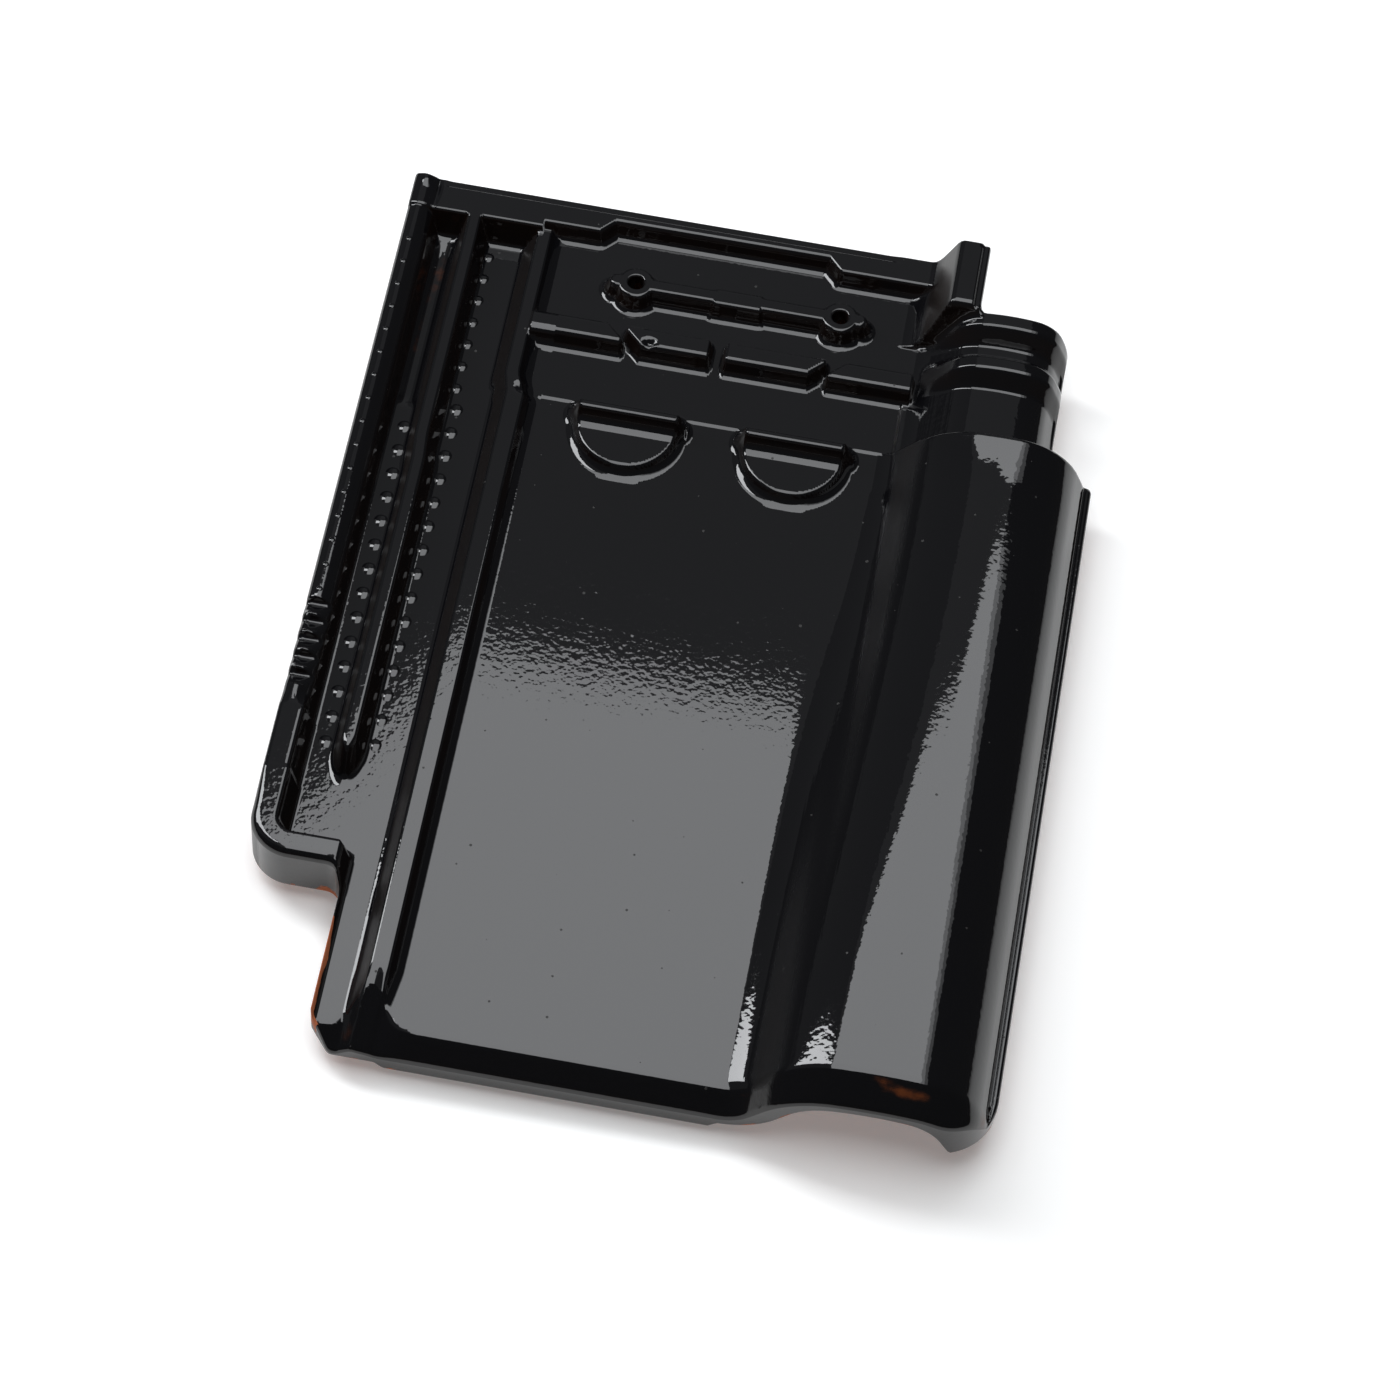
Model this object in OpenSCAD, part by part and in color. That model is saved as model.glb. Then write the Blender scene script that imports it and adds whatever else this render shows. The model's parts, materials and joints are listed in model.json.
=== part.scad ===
// Interlocking clay roof tile: side lock, flat pan and hollow roll, with a ribbed head.
// X runs from the lock to the roll, Y from the foot to the head, Z up from the floor it lies on.

/* [Overall] */
// Width from the outer rib of the lock to the lip of the roll
tile_width = 262; // [256:1:276]
// Length from foot to head
tile_length = 350; // [344:1:380]
// Thickness of the pan and of the roll's wall
wall = 11; // [9.5:0.5:12.5]
// Height of the nibs and of the foot bar below the pan
nib_depth = 9; // [7:0.5:14]

/* [Side lock] */
// Width of the outer rib
rib1_width = 8; // [7:0.5:9]
// Rise of the outer rib above the pan
rib1_rise = 10; // [8:0.5:11]
// Floor width of the first channel
channel1_width = 8.5; // [7:0.5:10]
// Crest width of the middle rib
rib2_width = 3.5; // [3:0.5:5]
// Rise of the middle rib above the pan
rib2_rise = 8; // [6:0.5:9]
// Floor width of the second channel
channel2_width = 17; // [15:0.5:19]
// Crest width of the rib along the pan
rib3_width = 5.5; // [4.5:0.5:7]
// Rise of the rib along the pan
rib3_rise = 5.5; // [4:0.5:7]
// Length over which the rib along the pan runs out at the foot
rib3_runout = 28; // [16:1:40]
// Depth of the channels below the pan
channel_drop = 3.5; // [2:0.5:4.5]
// Run of each drafted rib wall
rib_draft = 3.5; // [2.5:0.5:4]
// Further depth of the first channel near the head
trough_depth = 1.5; // [1:0.5:2]
// Distance from the foot to the front of the ear that closes the first channel
ear_y = 60; // [45:1:70]
// Radius of the ear's outer corner
ear_corner = 15; // [14:1:20]
// Gap between the ear's front and the end of the middle rib
ear_gap = 46; // [36:1:60]
// Number of notches in the crest of the outer rib
notch_count = 5; // [3:1:7]
// Distance between two notches
notch_pitch = 7.3; // [6.5:0.1:9]

/* [Roll] */
// Width of the roll at the foot, from the pan to its lip
roll_width = 91; // [88:1:95]
// Narrowing of the roll towards the head
roll_taper = 11; // [6:1:12]
// Rise of the roll's crest above the pan
roll_rise = 25; // [24:0.5:29]
// Radius of the hollow where the pan meets the roll
roll_hollow = 14; // [10:1:16]
// Radius of the roll's left shoulder
roll_shoulder = 32; // [28:1:34]
// Radius of the roll's right shoulder
roll_edge = 26; // [22:1:28]
// Width of the lip along the roll's right edge
lip_width = 2.5; // [1:0.5:4]
// Height of the lip above the pan
lip_height = 1; // [0.5:0.5:3]
// Distance from the foot to the head end of the roll
roll_length = 268; // [262:1:272]
// Radius of the roll's front corner in plan
foot_corner = 20; // [10:1:24]

/* [Neck] */
// Drop from the roll's crest to the neck's crest
neck_drop = 10; // [9:0.5:11]
// Distance from the roll's flank to the neck's flank at the head
neck_offset = 8.5; // [6:0.5:10]
// Distance from the roll's lip to the side of the neck
neck_inset = 17; // [15:0.5:19]
// Wall of the neck
neck_wall = 8; // [6:0.5:9]
// Length of the cut-out between the neck and the head edge
neck_cut = 28; // [24:1:32]
// Rise of the ring and the rim on the neck
ring_rise = 6.5; // [4:0.5:7]
// Crest width of the ring
ring_width = 3.5; // [2.5:0.5:5]
// Distance from the head edge to the ring
ring_edge = 50; // [47:0.5:53]
// Distance from the neck's flank to the crest of the tab
tab_offset = 14; // [13:0.5:16]
// Crest width of the tab
tab_width = 10; // [8:0.5:12]

/* [Head] */
// Rise of the head floor above the pan
head_rise = 2; // [1.5:0.5:3]
// Length of the ramp between the pan and the head floor
head_ramp = 35; // [20:1:45]
// Rise of the head rim, the nail bar and the blocks above the pan
bar_rise = 9; // [7.5:0.5:10]
// Run of each drafted wall on the head
bar_draft = 2.5; // [2:0.25:2.75]
// Crest width of the head rim between the holes
rim_width = 5.5; // [4:0.5:7]
// Crest width of the head rim at both ends and over the lock
rim_end_width = 11; // [9:0.5:13]
// Distance from the middle of the head to the steps in the rim
rim_step = 44; // [38:1:46]
// Distance from the head edge to the line of nail holes
nail_edge = 32; // [30:0.5:34]
// Distance between the nail holes
nail_pitch = 75; // [66:0.5:80]
// Diameter of a nail hole
nail_hole = 5.9; // [4:0.1:7]
// Crest diameter of the boss round a nail hole
nail_boss = 12; // [10:0.5:13]
// Crest width of the nail bar
nail_bar = 3.4; // [2.5:0.1:5]
// Reach of the nail bar past each hole
nail_tip = 8; // [7:0.5:10]
// Half length of the wider pad in the middle of the nail bar
nail_pad = 8.5; // [6:0.5:12]
// Distance from the head edge to the middle of the row of blocks
block_edge = 55.5; // [54:0.5:58]
// Crest width of a block along the tile
block_width = 5.5; // [4:0.5:7]
// Gap between the crests of two blocks
block_gap = 6; // [6:0.5:8]
// Distance from the middle gap of the row to the slanted gaps
block_pitch = 37; // [33:0.5:40]
// Slant of the outer gaps
block_slant = 2.5; // [1:0.5:4]
// Distance from the head edge to the ridge of the half-moon stops
moon_edge = 87; // [85:0.5:89]
// Radius of a half-moon stop
moon_radius = 21; // [18:0.5:22]
// Distance between the half-moon stops
moon_pitch = 60; // [56:0.5:64]
// Rise of a half-moon stop above the pan
moon_rise = 5; // [4:0.5:6]
// Crest width of the ridge along a stop's chord
moon_ridge = 3.5; // [2.5:0.5:5]

/* [Underside] */
// Width of a hanging nib
nib_width = 34; // [24:1:40]
// Length of a hanging nib
nib_length = 13; // [9:0.5:16]
// Distance from the head edge to the bearing face of the nibs
nib_edge = 20; // [18:0.5:24]
// Distance from the foot to the bar under the pan
foot_bar_y = 14; // [12:0.5:20]
// Width of the bar under the pan
foot_bar_width = 10; // [6:0.5:14]
// Length of the nose along the foot
foot_nose = 8; // [6:0.5:10]
// Drop of the nose
nose_drop = 7; // [5:0.5:7]
// Depth of the drip lip below the pan at the foot
foot_lip = 3; // [2:0.5:5]

/* [Hidden] */
$fn = 96;
// Reach of a raw shape past the outline that trims it
spare = 5;
// Depth to which a raised form is sunk into the body that carries it
sink = 2;
// Fillets of the rib crests and of the rib roots
crest_round = 1.6;
root_round = 3;
fillet_steps = 3;
under_z = nib_depth;
pan_z = under_z + wall;
channel_z = pan_z - channel_drop;
rib1_z = pan_z + rib1_rise;
head_z = pan_z + head_rise;
bar_z = pan_z + bar_rise;
channel1_x = rib1_width + rib_draft;
rib2_x = channel1_x + channel1_width + rib_draft;
channel2_x = rib2_x + rib2_width + rib_draft;
rib3_x = channel2_x + channel2_width + rib_draft;
pan_x = rib3_x + rib3_width + rib_draft;
roll_x = tile_width - roll_width;
roll_head_x = roll_x + roll_taper;
// The pan ends in the flat that the roll's loft starts from
join_x = roll_x - sink;
// The strip below the ear is set in to the second channel
strip_x = channel2_x + rib_draft;
strip_chamfer = 8;
ear_reach = strip_x - rib1_width / 2 - rib_draft;
rib2_y = ear_y + ear_gap;
notch_y = rib2_y + 24;
notch_radius = 2.2;
trough_y = tile_length - 92;
neck_x = tile_width - neck_inset;
neck_y = tile_length - neck_cut;
neck_start_x = roll_head_x + neck_offset;
head_mid_x = (pan_x + neck_start_x) / 2;
tab_x = neck_start_x + tab_offset;
tab_x1 = tab_x + tab_width;
ring_y = tile_length - ring_edge;
nail_y = tile_length - nail_edge;
block_y = tile_length - block_edge;
moon_y = tile_length - moon_edge;
nib_y = tile_length - nib_edge;
flank_angle = 52;
crest_angle = 8;
edge_angle = 66;
arc_steps = 4;
nose_steps = 3;
foot_lip_y = 6;

// Points of an arc about a centre, from one angle to another
function arc(c, r, a0, a1, steps = arc_steps) =
    [for (i = [0:steps]) let (a = a0 + (a1 - a0) * i / steps) c + r * [cos(a), sin(a)]];

// Arc that rounds the corner b between the points a and c
function corner(a, b, c, r) =
    let (
        u = (a - b) / norm(a - b),
        v = (c - b) / norm(c - b),
        half = acos(u * v) / 2,
        mid = b + (u + v) / norm(u + v) * r / sin(half),
        from = b + u * r / tan(half) - mid,
        to = b + v * r / tan(half) - mid,
        a0 = atan2(from[1], from[0]),
        turn = (atan2(to[1], to[0]) - a0 + 540) % 360 - 180
    )
    arc(mid, r, a0, a0 + turn, fillet_steps);

function flat(p) = [p[0], p[1]];

// Line through points of the form [x, z, radius], with the corners of a radius above 0 rounded
function filleted(path) =
    [for (i = [0:len(path) - 1]) each path[i][2] > 0
        ? corner(flat(path[i - 1]), flat(path[i]), flat(path[i + 1]), path[i][2])
        : [flat(path[i])]];

// Outer line of an arch that rises from a flat floor and ends in a steep flank.
// start is its first point, size its width and rise, radii its hollow, shoulder and edge.
function arch(start, size, radii, foot) =
    let (
        a = flank_angle,
        c = crest_angle,
        e = edge_angle,
        lift = tan(c / 2) / 2,
        left_rise = size[1] - radii[0] * (1 - cos(a)) - radii[1] * (cos(c) - cos(a)),
        right_rise = size[1] - radii[2] * (cos(c) - cos(e)) - foot,
        arcs_run = radii[0] * sin(a) + radii[1] * (sin(a) - sin(c)) + radii[2] * (sin(e) - sin(c)),
        crest_run = (size[0] - arcs_run - right_rise / tan(e) - left_rise / tan(a))
            / (1 - lift / tan(e) - lift / tan(a)),
        flank = (left_rise - lift * crest_run) / sin(a),
        hollow_c = start + [0, radii[0]],
        flank_end = hollow_c + radii[0] * [sin(a), -cos(a)] + flank * [cos(a), sin(a)],
        shoulder_c = flank_end + radii[1] * [sin(a), -cos(a)],
        crest_r = crest_run / (2 * sin(c)),
        crest_c = shoulder_c + (radii[1] - crest_r) * [-sin(c), cos(c)],
        edge_c = crest_c + (crest_r - radii[2]) * [sin(c), cos(c)]
    )
    concat(
        arc(hollow_c, radii[0], 270, 270 + a),
        arc(shoulder_c, radii[1], 90 + a, 90 + c),
        arc(edge_c, radii[2], 90 - c, 90 - e),
        [start + [size[0], foot]]
    );

function reversed(list) = [for (i = [len(list) - 1:-1:0]) list[i]];

// Ring of space points from a section drawn in X and Z
function at_y(section, y) = [for (p = section) [p[0], y, p[1]]];

// Rounded nose of the foot: distance from the foot and drop of the top there
nose_line = [for (i = [nose_steps:-1:0]) let (a = 90 * i / nose_steps)
    [foot_nose * (1 - sin(a)), nose_drop * (1 - cos(a))]];

// Section of the hollow roll whose left side starts at x and whose top is lowered by drop
roll_radii = [roll_hollow, roll_shoulder, roll_edge];
inner_radii = [roll_hollow + wall, roll_shoulder - wall, roll_edge - wall];
lip_thickness = 5;
function roll_top(x, drop) =
    arch([x, pan_z - drop], [tile_width - lip_width - x, roll_rise], roll_radii, lip_height);
function roll_under(x) =
    arch([x, under_z], [tile_width - lip_width - wall - x, roll_rise], inner_radii, wall - lip_thickness);
function roll_section(x, drop) =
    concat(
        [[join_x, under_z], [join_x, pan_z - drop]],
        roll_top(x, drop),
        [for (z = [lip_height, lip_height - lip_thickness]) [tile_width, pan_z + z - drop]],
        reversed(roll_under(x))
    );

// The neck stands inside the hollow of the roll that covers it
neck_size = [neck_x - neck_start_x, roll_rise - neck_drop];
neck_radii = [6, 26, 20];
neck_inner_radii = [10, 18, 12];
neck_under = arch(
    [neck_start_x, under_z],
    neck_size + [-neck_wall, wall - neck_wall],
    neck_inner_radii,
    wall / 2
);
function neck_section(rise) =
    concat(
        arch([neck_start_x, pan_z], neck_size + [0, rise], neck_radii, 0),
        [[neck_x, under_z + wall / 2]],
        reversed(neck_under)
    );

// Extrudes a section drawn in X and Z from y0 to y1
module along_y(y0, y1) {
    translate([0, y1, 0]) rotate([90, 0, 0]) linear_extrude(y1 - y0) children();
}

// Extrudes a profile drawn in Y and Z from x0 to x1
module along_x(x0, x1) {
    translate([x0, 0, 0]) rotate([90, 0, 90]) linear_extrude(x1 - x0) children();
}

// Solid through rings of the same number of points, in the order of rising Y or Z
module loft(rings) {
    n = len(rings[0]);
    last = (len(rings) - 1) * n;
    polyhedron(
        points = [for (ring = rings) each ring],
        faces = concat(
            [[for (i = [0:n - 1]) i]],
            [[for (i = [n - 1:-1:0]) last + i]],
            [for (k = [0:len(rings) - 2], i = [0:n - 1]) let (a = k * n, j = (i + 1) % n)
                each [[a + i, a + n + i, a + j], [a + j, a + n + i, a + n + j]]]
        )
    );
}

// Drafted bar section on a floor: crest from a to b at the height top, with rounded crest and roots
module bar_section(a, b, top, floor_z, run) {
    foot = floor_z - sink;
    polygon(filleted([
        [a - run - root_round, foot, 0],
        [a - run - root_round, floor_z, 0],
        [a - run, floor_z, root_round / 2],
        [a, top, crest_round / 2],
        [b, top, crest_round / 2],
        [b + run, floor_z, root_round / 2],
        [b + run + root_round, floor_z, 0],
        [b + run + root_round, foot, 0]
    ]));
}

// Drafted bar with round ends, along X from x0 to x1 at y
module round_bar(x0, x1, y, width, top, floor_z, run) {
    foot = floor_z - sink;
    base = width / 2 + run * (top - foot) / (top - floor_z);
    along_x(x0, x1) polygon([[y - base, foot], [y - width / 2, top], [y + width / 2, top], [y + base, foot]]);
    for (x = [x0, x1]) translate([x, y, foot]) cylinder(r1 = base, r2 = width / 2, h = top - foot);
}

// Drafted block on the head floor between y0 and y1.
// left and right hold its crest's x at y0 and at y1.
module block(left, right, y0, y1) {
    crest = [[left[0], y0], [right[0], y0], [right[1], y1], [left[1], y1]];
    run = bar_draft * (bar_rise - head_rise + sink) / (bar_rise - head_rise);
    base = [
        crest[0] + [-run, -run],
        crest[1] + [run, -run],
        crest[2] + [run, run],
        crest[3] + [-run, run]
    ];
    loft([
        [for (p = base) [p[0], p[1], head_z - sink]],
        [for (p = crest) [p[0], p[1], bar_z]]
    ]);
}

// Outline of the lock, the pan and the head seen from above
module outline() {
    difference() {
        polygon([
            [strip_x + strip_chamfer, 0],
            [tab_x1, 0],
            [tab_x1, tile_length],
            [0, tile_length],
            [0, ear_y],
            [strip_x, ear_y],
            [strip_x, strip_chamfer]
        ]);
        corner_waste(ear_y, ear_corner);
    }
}

// Waste outside a rounded left corner whose front is at y
module corner_waste(y, r) {
    difference() {
        translate([-1, y - 1]) square(r + 1);
        translate([r, y + r]) circle(r);
    }
}

// Section of the lock floor, the rib along the pan and the pan up to x
module lock_section(x) {
    polygon(filleted([
        [-spare, under_z, 0],
        [-spare, channel_z, 0],
        [channel2_x + channel2_width, channel_z, root_round],
        [rib3_x, pan_z + rib3_rise, crest_round],
        [rib3_x + rib3_width, pan_z + rib3_rise, crest_round],
        [pan_x, pan_z, 2 * root_round],
        [x, pan_z, 0],
        [x, under_z, 0]
    ]));
}

// Lock floor and pan with the nose along the foot, where the rib along the pan runs out
module pan() {
    top_z = pan_z + rib3_rise + sink;
    difference() {
        along_y(-spare, tile_length + spare) lock_section(join_x);
        along_x(-2 * spare, join_x + 2 * sink)
            polygon(concat(
                [[-2 * spare, top_z], [-2 * spare, pan_z - nose_drop]],
                [for (p = nose_line) [p[0], pan_z - p[1]]],
                [[foot_nose + rib3_runout, pan_z + rib3_rise + 1], [foot_nose + rib3_runout, top_z]]
            ));
    }
}

// Hollow roll, narrowing towards the head, with the same nose at its foot
module roll() {
    difference() {
        loft(concat(
            [for (p = nose_line) at_y(roll_section(roll_x + roll_taper * p[0] / roll_length, p[1]), p[0])],
            [at_y(roll_section(roll_head_x, 0), roll_length)]
        ));
        translate([tile_width, 0, 0])
            mirror([1, 0, 0]) linear_extrude(pan_z + roll_rise) corner_waste(0, foot_corner);
    }
}

// Wall that joins the roll to the neck
module collar() {
    along_y(roll_length - wall, roll_length)
        polygon(concat(
            roll_top(roll_head_x, 0),
            [for (z = [lip_height, lip_height - lip_thickness]) [tile_width, pan_z + z]],
            [[neck_x, under_z + wall / 2]],
            reversed(neck_under)
        ));
}

// Neck with its ring and its rim
module neck() {
    stations = [
        [roll_length - sink, 0],
        [ring_y - ring_width / 2 - rib_draft, 0],
        [ring_y - ring_width / 2, ring_rise],
        [ring_y + ring_width / 2, ring_rise],
        [ring_y + ring_width / 2 + rib_draft, 0],
        [neck_y - ring_width - 2 * rib_draft, 0],
        [neck_y - ring_width - rib_draft, ring_rise],
        [neck_y, ring_rise]
    ];
    loft([for (s = stations) at_y(neck_section(s[1]), s[0])]);
}

// Slab under the head, beside the neck and past its end
module head_slab() {
    translate([join_x, roll_length - sink, under_z])
        cube([neck_start_x + sink - join_x, neck_y + spare - roll_length, wall]);
    translate([join_x, neck_y - sink, under_z])
        cube([tab_x1 + spare - join_x, tile_length + spare - neck_y, wall]);
}

// Section of the outer rib, measured from the lock's outer edge
function rib1_line() =
    filleted([
        [-spare, channel_z - sink, 0],
        [-spare, pan_z, 0],
        [0, pan_z, 0],
        [1, rib1_z, crest_round],
        [rib1_width, rib1_z, crest_round],
        [channel1_x, channel_z, root_round],
        [channel1_x + root_round, channel_z, 0],
        [channel1_x + root_round, channel_z - sink, 0]
    ]);

// Outer rib, which turns into the ear that closes the first channel
module outer_rib() {
    bend_y = ear_y + ear_corner;
    along_y(bend_y, tile_length + spare) polygon(rib1_line());
    translate([ear_corner, bend_y, 0])
        rotate([0, 0, 180])
            rotate_extrude(angle = 90)
                polygon([for (p = rib1_line()) [ear_corner - p[0], p[1]]]);
    along_x(ear_corner, ear_reach)
        polygon([for (p = rib1_line()) [ear_y + p[0], p[1]]]);
    translate([ear_reach, ear_y + rib1_width / 2, channel_z - sink])
        cylinder(r1 = rib1_width / 2 + rib_draft, r2 = rib1_width / 2, h = rib1_z - channel_z + sink);
}

// Middle rib with a round end
module middle_rib() {
    half = rib2_width / 2;
    foot_z = channel_z - sink;
    top_z = pan_z + rib2_rise;
    along_y(rib2_y, tile_length + spare)
        bar_section(rib2_x, rib2_x + rib2_width, top_z, channel_z, rib_draft);
    translate([rib2_x + half, rib2_y, foot_z])
        cylinder(r1 = half + rib_draft, r2 = half, h = top_z - foot_z);
}

// Waste of the notches in the outer rib's crest and of the trough in the first channel
module lock_waste() {
    for (i = [0:notch_count - 1])
        translate([rib1_width + 1, notch_y + i * notch_pitch, rib1_z + notch_radius / 2])
            rotate([0, -90, 0]) cylinder(r = notch_radius, h = rib1_width - 1);
    along_y(trough_y, tile_length - rim_end_width - 2 * bar_draft)
        polygon([
            [channel1_x + 1, pan_z],
            [channel1_x + 1, channel_z],
            [channel1_x + 2, channel_z - trough_depth],
            [channel1_x + channel1_width / 2 + 1, channel_z - trough_depth],
            [channel1_x + channel1_width / 2 + 2, channel_z],
            [channel1_x + channel1_width / 2 + 2, pan_z]
        ]);
}

// Floor of the head, a little above the pan, with a long ramp down to it
module head_floor() {
    foot_z = pan_z - sink;
    crease_y = roll_length;
    x0 = rib3_x + rib3_width;
    along_x(x0, roll_head_x + roll_hollow / 2)
        polygon([
            [crease_y - head_ramp, foot_z],
            [crease_y - head_ramp, pan_z],
            [crease_y, head_z],
            [crease_y + sink, head_z],
            [crease_y + sink, foot_z]
        ]);
    along_x(x0, neck_start_x + neck_radii[0] / 2)
        translate([crease_y, foot_z]) square([tile_length + spare - crease_y, head_z - foot_z]);
}

// Row of four blocks across the head, parted by one straight and two slanted gaps
module blocks() {
    half = block_gap / 2;
    y0 = block_y - block_width / 2;
    y1 = block_y + block_width / 2;
    x0 = rib3_x;
    x4 = neck_start_x + neck_radii[0] / 2;
    gaps = [for (side = [-1, 0, 1]) head_mid_x + side * block_pitch];
    slant = block_slant;
    block([x0, x0], [gaps[0] - half + slant, gaps[0] - half - slant], y0, y1);
    block([gaps[0] + half + slant, gaps[0] + half - slant], [gaps[1] - half, gaps[1] - half], y0, y1);
    block([gaps[1] + half, gaps[1] + half], [gaps[2] - half - slant, gaps[2] - half + slant], y0, y1);
    block([gaps[2] + half - slant, gaps[2] + half + slant], [x4, x4], y0, y1);
}

// Rim along the head edge, wider at both ends and over the lock, and the tab beside it
module head_rim() {
    y1 = tile_length + spare;
    along_x(rib3_x, neck_start_x + sink) bar_section(tile_length - rim_width, y1, bar_z, head_z, bar_draft);
    along_x(-spare, rib3_x + sink) bar_section(tile_length - rim_end_width, y1, bar_z, channel_z, rib_draft);
    end_y = tile_length - rim_end_width;
    step0 = head_mid_x - rim_step;
    step1 = head_mid_x + rim_step;
    block([rib3_x, rib3_x], [step0 - bar_draft, step0 + bar_draft], end_y, y1);
    block([step1 + bar_draft, step1 - bar_draft], [neck_start_x, neck_start_x], end_y, y1);
    along_y(neck_y - sink, y1)
        polygon(filleted([
            [neck_start_x - sink, head_z - sink, 0],
            [neck_start_x - sink, head_z, 0],
            [tab_x - (roll_rise - head_rise) / tan(flank_angle), head_z, root_round],
            [tab_x, pan_z + roll_rise, root_round],
            [tab_x1, pan_z + roll_rise, root_round],
            [tab_x1, head_z - sink, 0]
        ]));
}

// Bar, bosses and middle pad that carry the nail holes
module nail_bar() {
    foot_z = head_z - sink;
    half = nail_pitch / 2 + nail_tip;
    round_bar(head_mid_x - half, head_mid_x + half, nail_y, nail_bar, bar_z, head_z, bar_draft);
    round_bar(head_mid_x - nail_pad, head_mid_x + nail_pad, nail_y, 2 * nail_bar, bar_z, head_z, bar_draft);
    for (side = [-1, 1])
        translate([head_mid_x + side * nail_pitch / 2, nail_y, foot_z])
            cylinder(d1 = nail_boss + 2 * bar_draft, d2 = nail_boss, h = bar_z - foot_z);
}

module nail_holes() {
    for (side = [-1, 1])
        translate([head_mid_x + side * nail_pitch / 2, nail_y, -spare])
            cylinder(d = nail_hole, h = bar_z + 2 * spare);
}

// Half-moon stops with a ridge along the chord
module moons() {
    foot_z = pan_z - sink;
    for (side = [-1, 1]) {
        x = head_mid_x + side * moon_pitch / 2;
        intersection() {
            translate([x, moon_y, foot_z])
                cylinder(r1 = moon_radius + bar_draft, r2 = moon_radius, h = pan_z + moon_rise - foot_z);
            translate([x - 2 * moon_radius, moon_y - 2 * moon_radius, 0])
                cube([4 * moon_radius, 2 * moon_radius, bar_z]);
        }
        round_bar(x - moon_radius + 1, x + moon_radius - 1, moon_y, moon_ridge, bar_z, pan_z, bar_draft);
    }
}

// Hanging nibs near the head, the bar under the pan and the drip lip at the foot
module underside() {
    for (side = [-1, 1])
        translate([head_mid_x + side * nail_pitch / 2 - nib_width / 2, nib_y, 0])
            cube([nib_width, nib_length, nib_depth + sink]);
    translate([pan_x, foot_bar_y, 0]) cube([join_x - pan_x, foot_bar_width, nib_depth + sink]);
    along_x(pan_x, join_x)
        polygon([[0, under_z + sink], [0, under_z - foot_lip], [foot_lip_y / 2, under_z - foot_lip],
            [foot_lip_y, under_z], [foot_lip_y, under_z + sink]]);
}

module tile() {
    color("#17181b")
        translate([-tile_width / 2, -tile_length / 2, 0])
            difference() {
                union() {
                    intersection() {
                        linear_extrude(pan_z + 2 * roll_rise) outline();
                        union() {
                            pan();
                            outer_rib();
                            middle_rib();
                            head_slab();
                            head_floor();
                            blocks();
                            nail_bar();
                            head_rim();
                            moons();
                        }
                    }
                    roll();
                    collar();
                    neck();
                    underside();
                }
                lock_waste();
                nail_holes();
            }
}

tile();
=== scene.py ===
import json
import math
import bpy
import numpy as np
from mathutils import Matrix, Vector
from mathutils.geometry import delaunay_2d_cdt

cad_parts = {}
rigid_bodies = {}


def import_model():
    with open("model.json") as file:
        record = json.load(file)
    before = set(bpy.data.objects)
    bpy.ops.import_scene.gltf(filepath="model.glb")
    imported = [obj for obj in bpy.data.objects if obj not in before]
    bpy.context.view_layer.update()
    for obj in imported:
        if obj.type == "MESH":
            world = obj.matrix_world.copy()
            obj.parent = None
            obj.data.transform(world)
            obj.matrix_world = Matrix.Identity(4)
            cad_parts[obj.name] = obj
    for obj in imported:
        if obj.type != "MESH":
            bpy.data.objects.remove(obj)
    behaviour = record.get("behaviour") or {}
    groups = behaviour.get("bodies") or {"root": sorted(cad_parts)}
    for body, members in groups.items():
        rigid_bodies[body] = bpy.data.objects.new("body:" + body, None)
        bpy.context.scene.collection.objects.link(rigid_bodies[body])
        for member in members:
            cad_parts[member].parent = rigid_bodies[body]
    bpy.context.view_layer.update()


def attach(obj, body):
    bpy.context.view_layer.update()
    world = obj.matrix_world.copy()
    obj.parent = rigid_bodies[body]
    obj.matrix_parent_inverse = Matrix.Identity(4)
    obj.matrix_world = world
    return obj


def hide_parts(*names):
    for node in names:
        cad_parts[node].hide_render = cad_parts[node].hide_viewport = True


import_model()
mm = 0.001
tiny = 0.01  # mm, blend where two forms meet sharply
farBelow = -50.0  # mm, where a form has no part in the top


# shared helpers

def linearColor(hexText):
    parts = [int(hexText[i:i + 2], 16) / 255 for i in (1, 3, 5)]
    lin = [c / 12.92 if c <= 0.04045 else ((c + 0.055) / 1.055) ** 2.4 for c in parts]
    return (*lin, 1.0)


def addNode(tree, kind, settings=None, inputs=None, links=None):
    node = tree.nodes.new(kind)
    for key, value in (settings or {}).items():
        setattr(node, key, value)
    for key, value in (inputs or {}).items():
        node.inputs[key].default_value = value
    for key, socket in (links or {}).items():
        tree.links.new(socket, node.inputs[key])
    return node


def addObject(name, data):
    obj = bpy.data.objects.new(name, data)
    bpy.context.scene.collection.objects.link(obj)
    return obj


def toFrame(points):  # tile millimetres to the part's frame in metres
    return (points - np.array([tileForm["width"] / 2, tileForm["length"] / 2, -tileForm["panTop"]])) * mm


# form of the tile, in mm: x from the lock edge, y from the foot, z from the pan's top

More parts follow.
